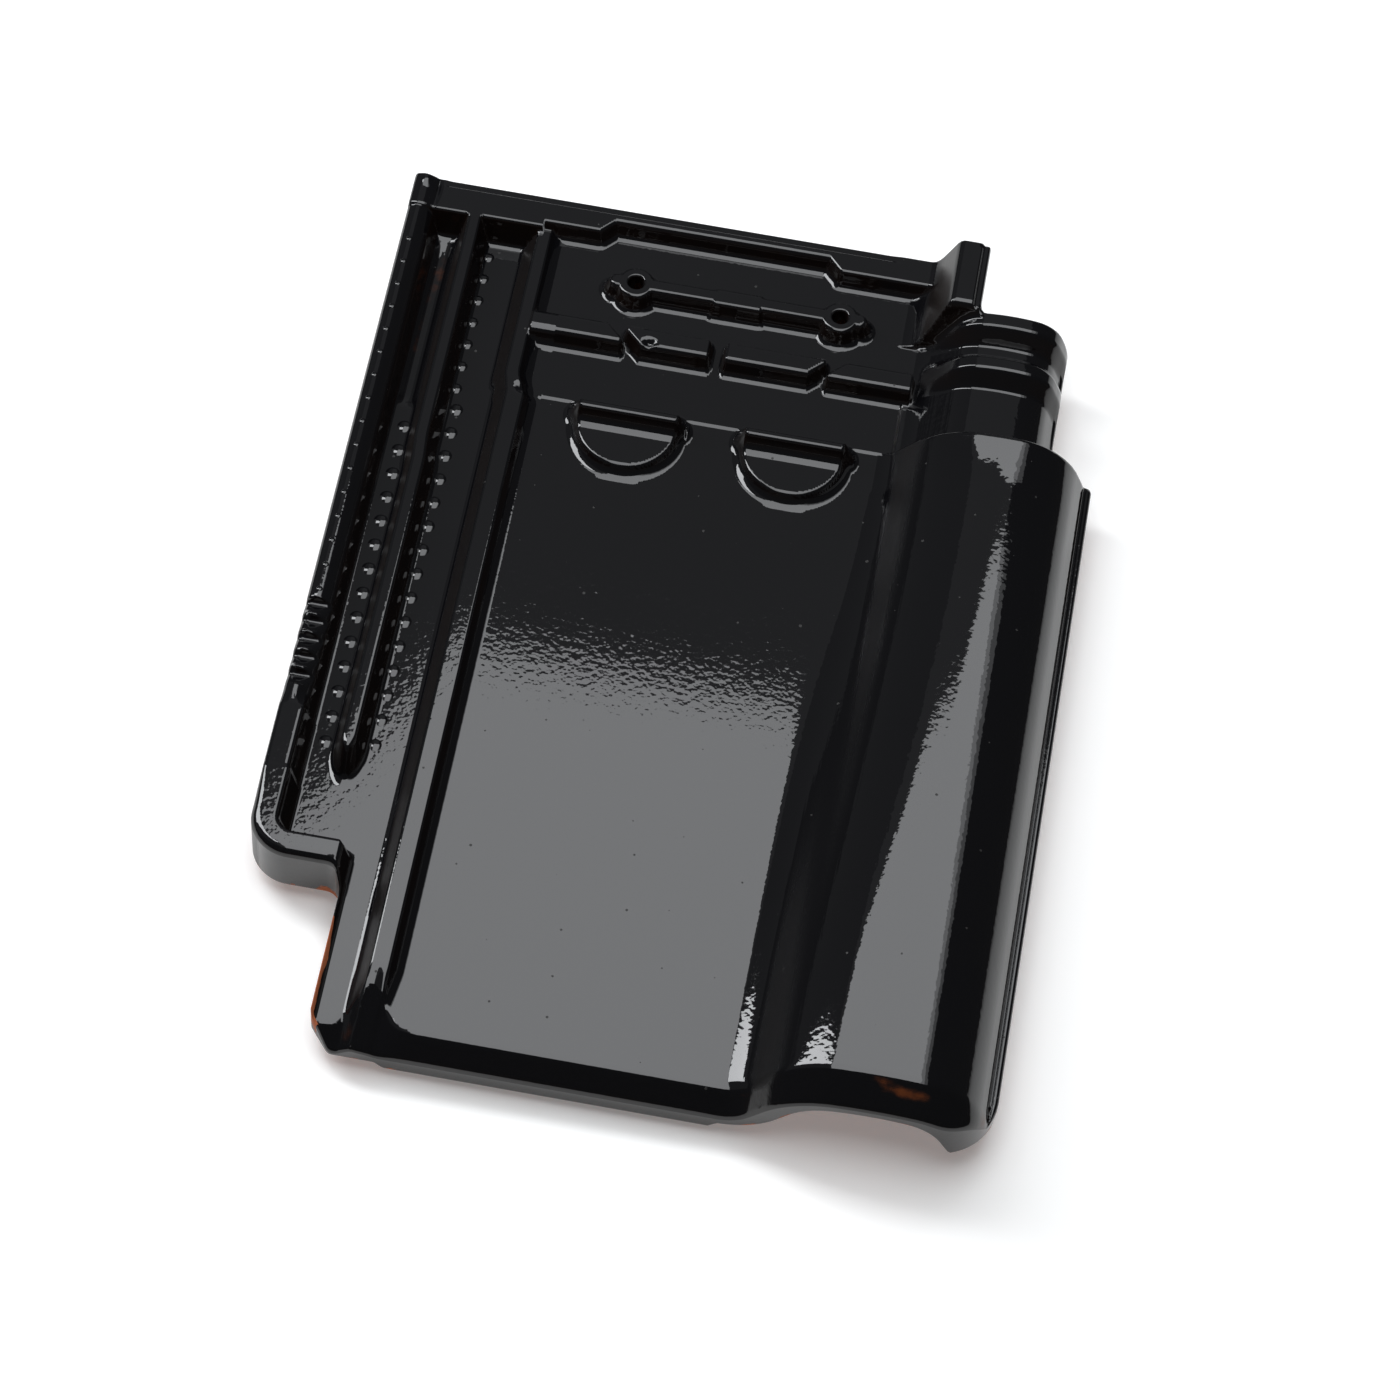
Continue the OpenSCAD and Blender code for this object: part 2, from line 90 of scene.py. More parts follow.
tileForm = {
    "width": 262.0, "length": 350.0, "panTop": 20.0, "thickness": 11.0, "edgeRound": 1.3,
    "earRound": {"more": 1.9, "y": (95.0, 75.0), "x": (36.0, 33.0)},  # added to the edge's rounding on the ear
    "floor": {"panRise": 0.5, "panY": (190.0, 262.0), "crease": (266.2, 267.0), "creaseRise": 0.3,
              "headRise": 1.2, "headY": (267.0, 305.0)},
    "channelFloor": -3.5, "lockEnd": 50.0,
    "trough": {"depth": 1.5, "y": ((254.0, 262.0), (322.0, 336.0)), "x": ((11.5, 14.0), (16.5, 19.5))},
    "lockRim": {"y": 336.9, "rise": 12.5, "fill": 4.0, "start": 310.0},
    "rib1": {"width": 7.0, "rise": 13.5, "bend": (15.0, 75.0), "earEnd": 31.0, "reach": 9.5, "crown": 1.5,
             "crownY": (116.0, 124.0), "rings": ((117.6, 119.0), (92.6, 94.2)), "ringGrow": 0.7,
             "ringRise": 0.04},
    "rib2": {"x": 25.7, "half": 1.3, "rise": 11.5, "end": 112.0, "taper": 0.42, "wave": 0.9,
             "waveY": (226.0, 240.0), "headGrow": 0.08, "headY": (318.0, 340.0)},
    "rib3": {"left": 51.0, "right": 56.0, "footLeft": 49.5, "footRight": 53.5, "top": 5.5, "leftRise": 9.0,
             "runOut": (-4.0, 28.0), "narrowY": (262.0, 274.0), "narrow": (2.0, 3.5)},
    # crests are the half angles of the roll's crest at the foot, the head and the end collar
    "roll": {"foot": 171.0, "head": 182.0, "end": 268.0, "rise": 23.6, "lip": 2.5, "lipRise": 1.0,
             "radii": (14.0, 32.0, 26.0), "headRadii": (14.0, 37.0, 20.0), "crests": (5.0, 20.0, 6.0),
             "flare": 1.35, "flareLength": 22.0, "endRun": 2.2, "evenTurn": 0.4, "turnY": (20.0, 235.0)},
    "rollBlend": (166.0, 186.0),  # x between which the pan's height fades out under the roll
    "groove": {"x": 259.3, "half": 0.6, "depth": 0.7},
    "hollow": {"wall": 11.0, "edge": 6.0, "endY": (254.0, 258.0)},
    "neckHollow": {"x0": 190.5, "x1": 237.0, "rise": 15.0, "radii": (10.0, 18.0, 12.0), "flank": 52.0,
                   "edge": 5.5},
    "neck": {"x0": 190.0, "x1": 245.5, "rise": 13.4, "radii": (12.0, 15.0, 12.0), "flank": 36.0, "edge": -2.0,
             "fill": 2.0},
    "ring": {"x0": 191.0, "x1": 249.0, "rise": 19.9, "radii": (6.0, 16.0, 13.0), "flank": 52.0, "edge": -2.0,
             "crest": (298.2, 301.4), "rimCrest": 317.0},
    "tab": {"x0": 184.4, "crestRight": 208.4, "start": 323.5, "rise": 23.0, "fill": 5.0,
            "solid": (214.0, 318.0)},
    "headFloor": 2.0, "headRise": 7.0,
    "headLine": {"depth": 0.45, "y": (346.2, 347.2), "x": ((10.0, 14.0), (176.0, 182.0))},
    "nailHoles": ((87.75, 318.0), (162.75, 318.0)), "holeRadius": 2.95, "holeRound": 0.7,
    "nailBar": {"overrun": 7.0, "half": 1.5, "boss": 5.4, "padReach": 8.0, "padHalf": 2.3},
    "moons": (95.2, 155.2), "moonChord": 261.2, "moonRadius": 16.8, "moonRise": 4.0, "moonDrop": 2.6,
    "moonRidge": 6.2, "ridgeReach": 16.4, "ridgeHalf": 1.4, "ridgeShift": 0.4,
    "nose": (8.5, 45.0, 3.5), "rollNose": (12.0, 35.0, 5.0),  # length, slope in degrees, bend radius
    "noseCorner": {"x": 52.5, "half": 6.5, "reach": 21.0}, "noseBlend": (164.0, 196.0),
    "lockNose": {"share": 0.75, "x": (44.0, 58.0)}, "lipNose": {"less": 0.55, "x": (244.0, 260.0)},
    # under the tile: x and y limits of the foot bar, the drip lip and the nibs
    "footBar": (60.0, 169.0, 14.0, 24.0), "dripLip": (60.0, 169.0, -5.0, 3.0),
    "nibHalf": 17.0, "nibY": (330.0, 343.0), "hangDrop": 9.0, "lipDrop": 3.0,
    # x and y beyond which the head's forms, the neck and the tab are worked out
    "headStart": (49.5, 228.0), "neckStart": (188.0, 262.0), "tabStart": (184.0, 296.0),
}


def ramp(v, v0, v1):
    return np.clip((v - v0) / (v1 - v0), 0, 1)


def softRamp(v, v0, v1):
    t = ramp(v, v0, v1)
    return t * t * (3 - 2 * t)


def softMax(a, b, blend):  # the higher of two forms, with the corner between them filled
    gap = np.clip(1 - np.abs(a - b) / blend, 0, 1)
    return np.maximum(a, b) + blend * gap * gap / 4


def bump(u, v):
    return np.exp(-u * u - v * v)


def bentLine(parts, steps=60):  # arcs (radius, from, to) and straights (None, length, angle) as one line
    xs, zs = [0.0], [0.0]
    for radius, start, stop in parts:
        if radius is None:
            xs.append(xs[-1] + start * math.cos(stop))
            zs.append(zs[-1] + start * math.sin(stop))
            continue
        step = radius * abs(stop - start) / steps
        for i in range(steps):
            angle = start + (stop - start) * (i + 0.5) / steps
            xs.append(xs[-1] + step * math.cos(angle))
            zs.append(zs[-1] + step * math.sin(angle))
    return np.array(xs), np.array(zs)


def wallLine(rise, angle, crestRadius, baseRadius):  # height over the base by distance from the crest
    a = math.radians(angle)
    bend = (crestRadius + baseRadius) * (1 - math.cos(a))
    fit = min(1.0, 0.98 * rise / bend)
    straight = (rise - bend * fit) / math.sin(a)
    xs, zs = bentLine([(crestRadius * fit, 0, -a), (None, straight, -a), (baseRadius * fit, -a, 0)])
    return xs, zs + rise


def wall(distance, line):
    return np.interp(distance, line[0], line[1])


def archLine(x0, x1, rise, radii, foot, flank=52.0, crest=8.0, edge=66.0):
    # hollow, flank, left shoulder, crest, right shoulder and steep right side
    a, c, e = (math.radians(v) for v in (flank, crest, edge))
    lift = math.tan(c / 2) / 2
    leftRise = rise - radii[0] * (1 - math.cos(a)) - radii[1] * (math.cos(c) - math.cos(a))
    rightRise = rise - radii[2] * (math.cos(c) - math.cos(e)) - foot
    leftRun = radii[0] * math.sin(a) + radii[1] * (math.sin(a) - math.sin(c))
    arcsRun = leftRun + radii[2] * (math.sin(e) - math.sin(c))
    crestRun = x1 - x0 - arcsRun - rightRise / math.tan(e) - leftRise / math.tan(a)
    crestRun /= 1 - lift / math.tan(e) - lift / math.tan(a)
    flankLength = (leftRise - lift * crestRun) / math.sin(a)
    xs, zs = bentLine([(radii[0], 0, a), (None, flankLength, a), (radii[1], a, c),
                       (crestRun / (2 * math.sin(c)), c, -c), (radii[2], -c, -e)])
    return np.append(xs + x0, x1), np.append(zs, foot)


def noseLine(length, angle, radius):  # drop against the distance from the start of the nose
    a = math.radians(angle)
    return bentLine([(radius, 0, a), (None, (length - radius * math.sin(a)) / math.cos(a), a)])


def boxDistance(x, y, x0, x1, y0, y1):
    dx, dy = np.maximum(x0 - x, x - x1), np.maximum(y0 - y, y - y1)
    return np.hypot(np.maximum(dx, 0), np.maximum(dy, 0)) + np.minimum(np.maximum(dx, dy), 0)


def barDistance(x, y, x0, x1, yMid, half):
    return np.hypot(x - np.clip(x, x0, x1), y - yMid) - half


def loopDistance(px, py, loop):  # distance to a closed loop of points, positive inside
    loop = np.asarray(loop, float)
    best = np.full(np.shape(px), 1e9)
    inside = np.zeros(np.shape(px), bool)
    for (x0, y0), (x1, y1) in zip(loop, np.roll(loop, -1, 0)):
        dx, dy = x1 - x0, y1 - y0
        t = np.clip(((px - x0) * dx + (py - y0) * dy) / (dx * dx + dy * dy + 1e-12), 0, 1)
        best = np.minimum(best, (px - x0 - t * dx) ** 2 + (py - y0 - t * dy) ** 2)
        crosses = (y0 > py) != (y1 > py)
        inside ^= crosses & (px < dx * (py - y0) / (dy if dy else 1e-12) + x0)
    return np.sqrt(best) * np.where(inside, 1, -1)


# sections of the roll, neck and rings, and walls of the ribs and head forms: rise, slope and bend radii

rollForm, neckForm, ringForm, tabForm = (tileForm[k] for k in ("roll", "neck", "ring", "tab"))
hollowForm = tileForm["hollow"]
rollRight = tileForm["width"] - rollForm["lip"]
rollFootLine, rollHeadLine, collarLine = (
    archLine(x0, rollRight, rise, radii, rollForm["lipRise"], crest=crest) for x0, rise, radii, crest in (
        (rollForm["foot"], rollForm["rise"], rollForm["radii"], rollForm["crests"][0]),
        (rollForm["head"], rollForm["rise"], rollForm["headRadii"], rollForm["crests"][1]),
        (rollForm["head"] - 1.0, rollForm["rise"] + rollForm["flare"], rollForm["radii"],
         rollForm["crests"][2])))
rollEndLine = noseLine(10.0, 82.0, 2.0)
neckLine, ringLine, neckHollowLine = (
    archLine(*(form[k] for k in ("x0", "x1", "rise", "radii", "edge", "flank")))
    for form in (neckForm, ringForm, tileForm["neckHollow"]))
ringWall = wallLine(1.0, 12.0, 8.0, 8.0)
innerRadii = tuple(r + s * tileForm["thickness"] for r, s in zip(rollForm["radii"], (1, -1, -1)))
hollowFootLine, hollowHeadLine = (
    archLine(x0, rollRight - hollowForm["wall"], rollForm["rise"], innerRadii, hollowForm["edge"])
    for x0 in (rollForm["foot"], rollForm["head"]))
rib1Wall = wallLine(tileForm["rib1"]["rise"], 76, 1.5, 1.3)
rib2Wall = wallLine(tileForm["rib2"]["rise"], 75, 1.3, 2.0)
rib3LeftWall = wallLine(tileForm["rib3"]["leftRise"], 62, 1.0, 0.8)
rib3RightWall = wallLine(tileForm["rib3"]["top"], 60, 1.2, 5.0)
headWall = wallLine(tileForm["headRise"], 74, 1.4, 3.0)
moonWall = wallLine(tileForm["moonRise"], 68, 1.3, 4.4)
ridgeWall = wallLine(tileForm["moonRidge"], 74, 1.3, 4.6)
ridgeBack = wallLine(tileForm["moonRise"] + tileForm["moonRidge"], 74, 1.3, 3.0)
lockRimWall = wallLine(tileForm["lockRim"]["rise"], 79, 1.2, 2.4)
faceSlope, sideSlope, dropSlope = (math.radians(v) for v in (66, 60, 80))
tabFace = bentLine([(10.0, 0, faceSlope), (None, 16.7, faceSlope), (3.0, faceSlope, 0)])
tabSide = bentLine([(0.6, 0, sideSlope), (None, 1.2, sideSlope), (0.6, sideSlope, 0), (None, 1.5, 0),
                    (0.5, 0, dropSlope), (None, 40.0, dropSlope)])
tabEnd = noseLine(30.0, 72.0, 2.5)
panNose, rollNose = noseLine(*tileForm["nose"]), noseLine(*tileForm["rollNose"])

# teeth in the outer rib: each has a steep face towards the foot and a ramp behind it
notchMarks = {"count": 5, "pitch": 7.3, "first": 133.0, "depth": 2.8, "rampStart": 2.4, "crestBlend": 2.2}
notchWall = wallLine(notchMarks["depth"], 77, 0.9, 1.4)


def notchDepth(y):
    depth, pitch = notchMarks["depth"], notchMarks["pitch"]
    turn = (notchMarks["first"] - y) / pitch
    reach = (turn - np.floor(turn)) * pitch
    inside = (turn < 1) & (turn > 1 - notchMarks["count"])
    tooth = np.maximum(wall(reach, notchWall), depth * ramp(reach, notchMarks["rampStart"], pitch))
    return np.where(inside, depth - tooth, 0)


gapSlant = 2.7
blockFoot, blockHead = 292.2, 297.4
blockEnds = [  # left and right end of each block's crest, and how far each end slants
    (54.0, 83.6, 0.0, gapSlant), (91.4, 118.0, gapSlant, 0.0),
    (125.2, 157.4, 0.0, -gapSlant), (165.4, 192.0, -gapSlant, 0.0),
]
headBlocks = [[(x0 + s0, blockFoot), (x1 + s1, blockFoot), (x1 - s1, blockHead), (x0 - s0, blockHead)]
              for x0, x1, s0, s1 in blockEnds]
headRim = [(44.0, 339.4), (70.5, 339.4), (75.5, 344.8), (155.5, 344.8), (160.5, 339.4), (196.0, 339.4),
           (196.0, 362.0), (44.0, 362.0)]


def floorHeight(y):  # the pan, with a small step up to the head at the crease
    floor = tileForm["floor"]
    pan = floor["panRise"] * ramp(y, *floor["panY"])
    step = floor["creaseRise"] * softRamp(y, *floor["crease"])
    return pan + step + floor["headRise"] * ramp(y, *floor["headY"])


def lockHeight(x, y):
    rib1, rib2, rib3, lockRim, trough = (tileForm[k] for k in ("rib1", "rib2", "rib3", "lockRim", "trough"))
    # the outer rib follows the edge round the ear and thickens in two rings towards it
    bx, by = rib1["bend"]
    edge = np.where(y >= by, x, np.where(x <= bx, bx - np.hypot(x - bx, y - by), y - by + bx))
    ringOne, ringTwo = rib1["rings"]
    swell = 0.5 * (1 - softRamp(y, *ringOne)) + 0.5 * (1 - softRamp(y, *ringTwo))
    side = edge - rib1["width"] - rib1["ringGrow"] * swell
    end = np.where(y < by, x - rib1["earEnd"], farBelow)
    far = np.hypot(np.maximum(side, 0), np.maximum(end, 0)) + np.minimum(np.maximum(side, end), 0)
    half = rib1["width"] / 2
    crown = rib1["crown"] * ((np.minimum(edge, rib1["reach"]) - half) / half) ** 2
    crown = crown * softRamp(y, *rib1["crownY"])
    swellRise = 1 + rib1["ringRise"] * swell
    rise = np.minimum(wall(far, rib1Wall) * swellRise, rib1["rise"] * swellRise - crown)
    rise = np.where(edge > rib1["reach"], wall(far, rib1Wall), rise)
    notch = notchDepth(y)
    blend = notchMarks["crestBlend"] * softRamp(notch, 0, 0.5) + tiny
    rise = np.where((x < rib1["reach"]) & (notch > 0), -softMax(-rise, notch - rib1["rise"], blend), rise)
    # middle rib, which runs out in a slope
    wave = rib2["wave"] * softRamp(y, *rib2["waveY"])
    run = np.hypot(x - rib2["x"] + wave, np.minimum(y - rib2["end"], 0) * rib2["taper"]) - rib2["half"]
    rise = np.maximum(rise, wall(run, rib2Wall) * (1 + rib2["headGrow"] * softRamp(y, *rib2["headY"])))
    # head rim across both channels
    rim = wall(lockRim["y"] - y, lockRimWall)
    fill = lockRim["fill"] * softRamp(np.minimum(rise, rim), 0, 2.5) + tiny
    rise = np.where(x < tileForm["lockEnd"], softMax(rise, rim, fill), rise)
    capped = (y > lockRim["start"]) & (x > rib1["reach"])
    rise = np.where(capped, np.minimum(rise, lockRim["rise"]), rise)
    # inner rib, with the channel on its left and the pan on its right
    t = ramp(y, *rib3["runOut"])
    narrow = softRamp(y, *rib3["narrowY"])
    left = rib3["footLeft"] + (rib3["left"] - rib3["footLeft"]) * t - rib3["narrow"][0] * narrow
    right = rib3["footRight"] + (rib3["right"] - rib3["footRight"]) * t - rib3["narrow"][1] * narrow
    top = rib3["top"] * t
    leftSide = wall(left - x, rib3LeftWall) * (top - tileForm["channelFloor"]) / rib3["leftRise"]
    rise = np.maximum(rise, leftSide)
    (y0, y1), (x0, x1) = trough["y"], trough["x"]
    hollow = softRamp(y, *y0) * (1 - softRamp(y, *y1)) * softRamp(x, *x0) * (1 - softRamp(x, *x1))
    channel = tileForm["channelFloor"] - trough["depth"] * hollow + rise
    floor = floorHeight(y) * softRamp(x, rib3["left"], rib3["right"])
    pan = floor + wall(x - right, rib3RightWall) * np.maximum(top - floor, 0) / rib3["top"]
    return np.where(x < 0.5 * (left + right), channel, pan)


def rollHeight(x, y):
    groove, even = tileForm["groove"], rollForm["evenTurn"]
    t = even * ramp(y, 0, rollForm["end"]) + (1 - even) * softRamp(y, *rollForm["turnY"])
    z = (1 - t) * np.interp(x, *rollFootLine) + t * np.interp(x, *rollHeadLine)
    # the roll opens a little towards its head end
    flare = ramp(y, rollForm["end"] - rollForm["flareLength"], rollForm["end"]) ** 2
    z = z + flare * (np.interp(x, *collarLine) - z)
    return z - groove["depth"] * np.exp(-((x - groove["x"]) / groove["half"]) ** 2)


def neckHeight(x, y):
    y0, y1 = ringForm["crest"]
    reach = np.minimum(np.maximum(y0 - y, y - y1), ringForm["rimCrest"] - y)
    low, high = np.interp(x, *neckLine), np.interp(x, *ringLine)
    z = low + wall(reach, ringWall) * (high - low)
    return np.where(x < neckForm["x0"], -1.0, z)


def tabHeight(x, y):
    z = np.interp(x - tabForm["x0"], *tabFace)
    z = np.minimum(z, tabForm["rise"] - np.interp(x - tabForm["crestRight"], *tabSide))
    return np.minimum(z, tabForm["rise"] - np.interp(tabForm["start"] - y, *tabEnd))


def headForms(x, y):
    (hx0, hy), (hx1, _) = tileForm["nailHoles"]
    bar = tileForm["nailBar"]
    mid = 0.5 * (hx0 + hx1)
    far = barDistance(x, y, hx0 - bar["overrun"], hx1 + bar["overrun"], hy, bar["half"])
    pad = (mid - bar["padReach"], mid + bar["padReach"], hy - bar["padHalf"], hy + bar["padHalf"])
    far = np.minimum(far, boxDistance(x, y, *pad))
    for hx in (hx0, hx1):
        far = np.minimum(far, np.hypot(x - hx, y - hy) - bar["boss"])
    far = np.minimum(far, -loopDistance(x, y, headRim))
    for corners in headBlocks:  # their ends are steeper than their sides
        far = np.minimum(far, -loopDistance(2 * x, y, [(2 * bx, by) for bx, by in corners]))
    rise = wall(far, headWall)
    # half-moon stops with a ridge along the chord
    chord, radius = tileForm["moonChord"], tileForm["moonRadius"]
    ridgeTop = tileForm["moonRise"] + tileForm["moonRidge"]
    for mx in tileForm["moons"]:
        dip = np.minimum(y - chord + tileForm["moonDrop"], 0)
        disc = wall(np.maximum(np.hypot(x - mx, dip) - radius, y - chord), moonWall)
        reach = tileForm["ridgeReach"]
        far = barDistance(x, y, mx - reach, mx + reach, chord + tileForm["ridgeShift"], tileForm["ridgeHalf"])
        ridge = np.where(disc > 0.2, disc + wall(far, ridgeWall), wall(far, ridgeBack))
        rise = np.maximum(rise, np.maximum(disc, np.minimum(ridge, ridgeTop)))
    return rise


marks = [  # x, y, half width, half length and depth of single dents in the glaze, and of a bump at the corner
    (97.0, 292.6, 1.8, 1.2, 1.8), (56.0, 266.0, 2.6, 1.5, 1.3),
    (9.4, 345.0, 0.9, 5.0, 0.9), (4.5, 347.5, 3.0, 2.6, -0.8),
]


def markDepth(x, y):
    depth = np.zeros(np.shape(x))
    for dx, dy, halfX, halfY, deep in marks:
        depth = depth + deep * bump((x - dx) / halfX, (y - dy) / halfY)
    return depth


def noseDrop(x, y):
    side = softRamp(x, *tileForm["noseBlend"])
    corner, length = tileForm["noseCorner"], tileForm["nose"][0]
    lock, lip = tileForm["lockNose"], tileForm["lipNose"]
    more = corner["reach"] * np.exp(-((x - corner["x"]) / corner["half"]) ** 2)
    drop = np.interp(np.maximum(length + more - y, 0) / (1 + more / length), *panNose)
    # shallower on the lock's floor
    drop = drop * (lock["share"] + (1 - lock["share"]) * softRamp(x, *lock["x"]))
    rollDrop = np.interp(tileForm["rollNose"][0] - y, *rollNose) * (1 - lip["less"] * softRamp(x, *lip["x"]))
    return (1 - side) * drop + side * rollDrop


def topHeight(x, y):
    z = lockHeight(x, y)
    head, line = tileForm["headFloor"], tileForm["headLine"]
    (hx, hy), (nx, ny), (tx, ty) = (tileForm[k] for k in ("headStart", "neckStart", "tabStart"))
    rollX, rollFull = tileForm["rollBlend"]
    rise = np.where((x > hx) & (y > hy), headForms(x, y), 0)
    z = np.where(rise > 0, np.maximum(z, floorHeight(y) + rise), z)
    roll = rollHeight(x, y) - np.interp(y - rollForm["end"] + rollForm["endRun"], *rollEndLine)
    roll = roll + z * (1 - softRamp(x, rollX, rollFull)) * (y < rollForm["end"])
    z = np.maximum(z, np.where(x > rollX, roll, farBelow))
    neck = np.where((x > nx) & (y > ny), neckHeight(x, y), farBelow)
    z = softMax(z, head + neck, neckForm["fill"] * softRamp(neck, 0, 2) + tiny)
    tab = np.where((x > tx) & (y > ty), tabHeight(x, y), farBelow)
    z = softMax(z, head + tab, tabForm["fill"] * softRamp(tab, 0, 3) + tiny)
    # small step down along the head edge
    x0, x1 = line["x"]
    z = z - line["depth"] * softRamp(y, *line["y"]) * softRamp(x, *x0) * (1 - softRamp(x, *x1))
    return z - markDepth(x, y) - noseDrop(x, y)


def underHeight(x, y):
    depth, drop, lipDrop = tileForm["thickness"], tileForm["hangDrop"], tileForm["lipDrop"]
    t = ramp(y, 0, rollForm["end"])
    roll = (1 - t) * np.interp(x, *hollowFootLine) + t * np.interp(x, *hollowHeadLine)
    collar = softRamp(y, *hollowForm["endY"])
    z = -depth + (1 - collar) * roll + collar * np.interp(x, *neckHollowLine)
    solidX, solidY = tabForm["solid"]
    z = np.where((y > solidY) & (x < solidX), -depth, z)  # no hollow under the tab
    # nibs, foot bar and drip lip hang below
    far = boxDistance(x, y, *tileForm["footBar"])
    for hx, _ in tileForm["nailHoles"]:
        nibX = (hx - tileForm["nibHalf"], hx + tileForm["nibHalf"])
        far = np.minimum(far, boxDistance(x, y, *nibX, *tileForm["nibY"]))
    hang = np.clip(drop - drop * far, 0, drop)
    hang = np.maximum(hang, np.clip(lipDrop - boxDistance(x, y, *tileForm["dripLip"]), 0, lipDrop))
    return np.where(hang > 0, -depth - hang, z)


# outline of the tile seen from above: x, y and the radius of the corner there

tileOutline = [
    (41.5, 0.0, 3.0), (262.0, 0.0, 20.0), (262.0, 268.0, 2.0), (246.0, 268.0, 2.0), (246.0, 322.0, 2.5),
    (212.2, 322.0, 2.5), (212.2, 350.0, 1.2), (0.0, 350.0, 1.2), (0.0, 60.0, 15.0), (34.0, 60.0, 6.0),
    (34.0, 9.0, 3.0),
]


def roundedLoop(corners, step):
    points = []
    count = len(corners)
    for i in range(count):
        b = np.array(corners[i][:2])
        u = np.array(corners[i - 1][:2]) - b
        v = np.array(corners[(i + 1) % count][:2]) - b
        u, v = u / np.linalg.norm(u), v / np.linalg.norm(v)
        half = math.acos(np.clip(u @ v, -1, 1)) / 2
        r = corners[i][2]
        centre = b + (u + v) / np.linalg.norm(u + v) * r / math.sin(half)
        p0, p1 = b + u * r / math.tan(half) - centre, b + v * r / math.tan(half) - centre
        a0 = math.atan2(p0[1], p0[0])
        turn = (math.atan2(p1[1], p1[0]) - a0 + 3 * math.pi) % (2 * math.pi) - math.pi
        n = max(4, int(abs(turn) * r / min(step, 1.0)))
        arc = [a0 + turn * k / n for k in range(n + 1)]
        points += [centre + r * np.array((math.cos(a), math.sin(a))) for a in arc]
    loop = []
    for p, q in zip(points, points[1:] + points[:1]):
        n = max(1, int(np.linalg.norm(q - p) / step))
        loop += [p + (q - p) * k / n for k in range(n)]
    return np.array(loop)


def spaced(*spans):  # grid lines from spans of start, stop and spacing
    lines = [np.linspace(a, b, max(1, round((b - a) / s)), endpoint=False) for a, b, s in spans]
    return np.concatenate(lines + [[spans[-1][1]]])


def gridPoints(xs, ys):
    gx, gy = np.meshgrid(xs, ys)
    return np.column_stack([gx.ravel(), gy.ravel()])


# lines of points on the top face in mm, closer where it bends, rings along its edges, and lines underneath
meshGrid = {
    "outlineStep": 1.1, "insets": (0.25, 0.6, 1.05, 1.6, 2.3), "holeRings": (0.2, 0.45, 0.8, 1.2, 1.8, 2.4),
    "edgeGap": 0.35, "holeGap": 0.3, "ringShare": 0.93, "underGap": 1.0, "holeSides": 40,
    "lockX": spaced((0.6, 5.6, 0.8), (5.6, 13.4, 0.5), (13.4, 20.0, 1.1), (20.0, 31.4, 0.52),
                    (31.4, 45.6, 1.6), (45.6, 62.6, 0.6)),
    "lockY": spaced((0.5, 11, 0.8), (11, 40, 1.6), (40, 57, 2.2), (57, 82, 0.75), (82, 122, 1.1),
                    (122, 128, 0.42), (128, 162, 0.42), (162, 226, 3.0), (226, 300, 1.6), (300, 332, 1.2),
                    (332, 349, 0.6)),
    "panX": spaced((64, 165, 6.0)), "panY": spaced((0.5, 10.5, 0.7), (10.5, 226, 6.0)),
    "rollX": spaced((166, 196, 1.2), (196, 247, 1.8)), "sideX": spaced((248, 259.4, 0.7)),
    "rollY": spaced((0.5, 15, 0.9), (15, 226, 3.0), (226, 258, 2.0), (258, 269.5, 0.5)),
    "sideY": spaced((0.5, 267.5, 1.3)),
    "headX": spaced((63.2, 191.6, 0.8)), "headY": spaced((228, 238, 2.0), (238, 349.5, 0.72)),
    "neckX": spaced((192.2, 246, 0.85)), "neckY": spaced((270.2, 349.5, 0.72)),
    "headCut": (191.8, 227.5),  # where the head's grid takes over from the roll's
    "underX": spaced((36, 60, 4.0), (60, 168, 3.0), (168, 260, 2.4)),
    "underY": spaced((1.2, 27, 1.3), (27, 252, 8.0), (252, 261, 1.0), (261, 314, 5.0), (314, 348, 1.1)),
    "underLockX": spaced((3, 33, 5.0)), "underLockY": spaced((62, 347, 6.0)),
}


def topPoints(loop, holes):
    g = meshGrid
    roll = gridPoints(g["rollX"], g["rollY"])
    cutX, cutY = g["headCut"]
    roll = roll[(roll[:, 0] > cutX) | (roll[:, 1] < cutY)]
    points = np.concatenate([gridPoints(g["lockX"], g["lockY"]), gridPoints(g["panX"], g["panY"]), roll,
                             gridPoints(g["sideX"], g["sideY"]), gridPoints(g["headX"], g["headY"]),
                             gridPoints(g["neckX"], g["neckY"])])
    far = loopDistance(points[:, 0], points[:, 1], loop)
    clear = np.min([np.hypot(points[:, 0] - x, points[:, 1] - y) for x, y in tileForm["nailHoles"]], axis=0)
    holeReach = tileForm["holeRadius"] + g["holeRings"][-1] + g["holeGap"]
    points = points[(far > g["insets"][-1] + g["edgeGap"]) & (clear > holeReach)]
    side = np.roll(loop, -1, 0) - np.roll(loop, 1, 0)
    inward = np.column_stack([-side[:, 1], side[:, 0]]) / np.linalg.norm(side, axis=1)[:, None]
    rings = [loop + inward * inset for inset in g["insets"]]
    rings = [ring[loopDistance(ring[:, 0], ring[:, 1], loop) > inset * g["ringShare"]]
             for ring, inset in zip(rings, g["insets"])]
    for hole, centre in zip(holes, tileForm["nailHoles"]):
        rings += [centre + (hole - centre) * (1 + grow / tileForm["holeRadius"]) for grow in g["holeRings"]]
    return np.concatenate([points] + rings)


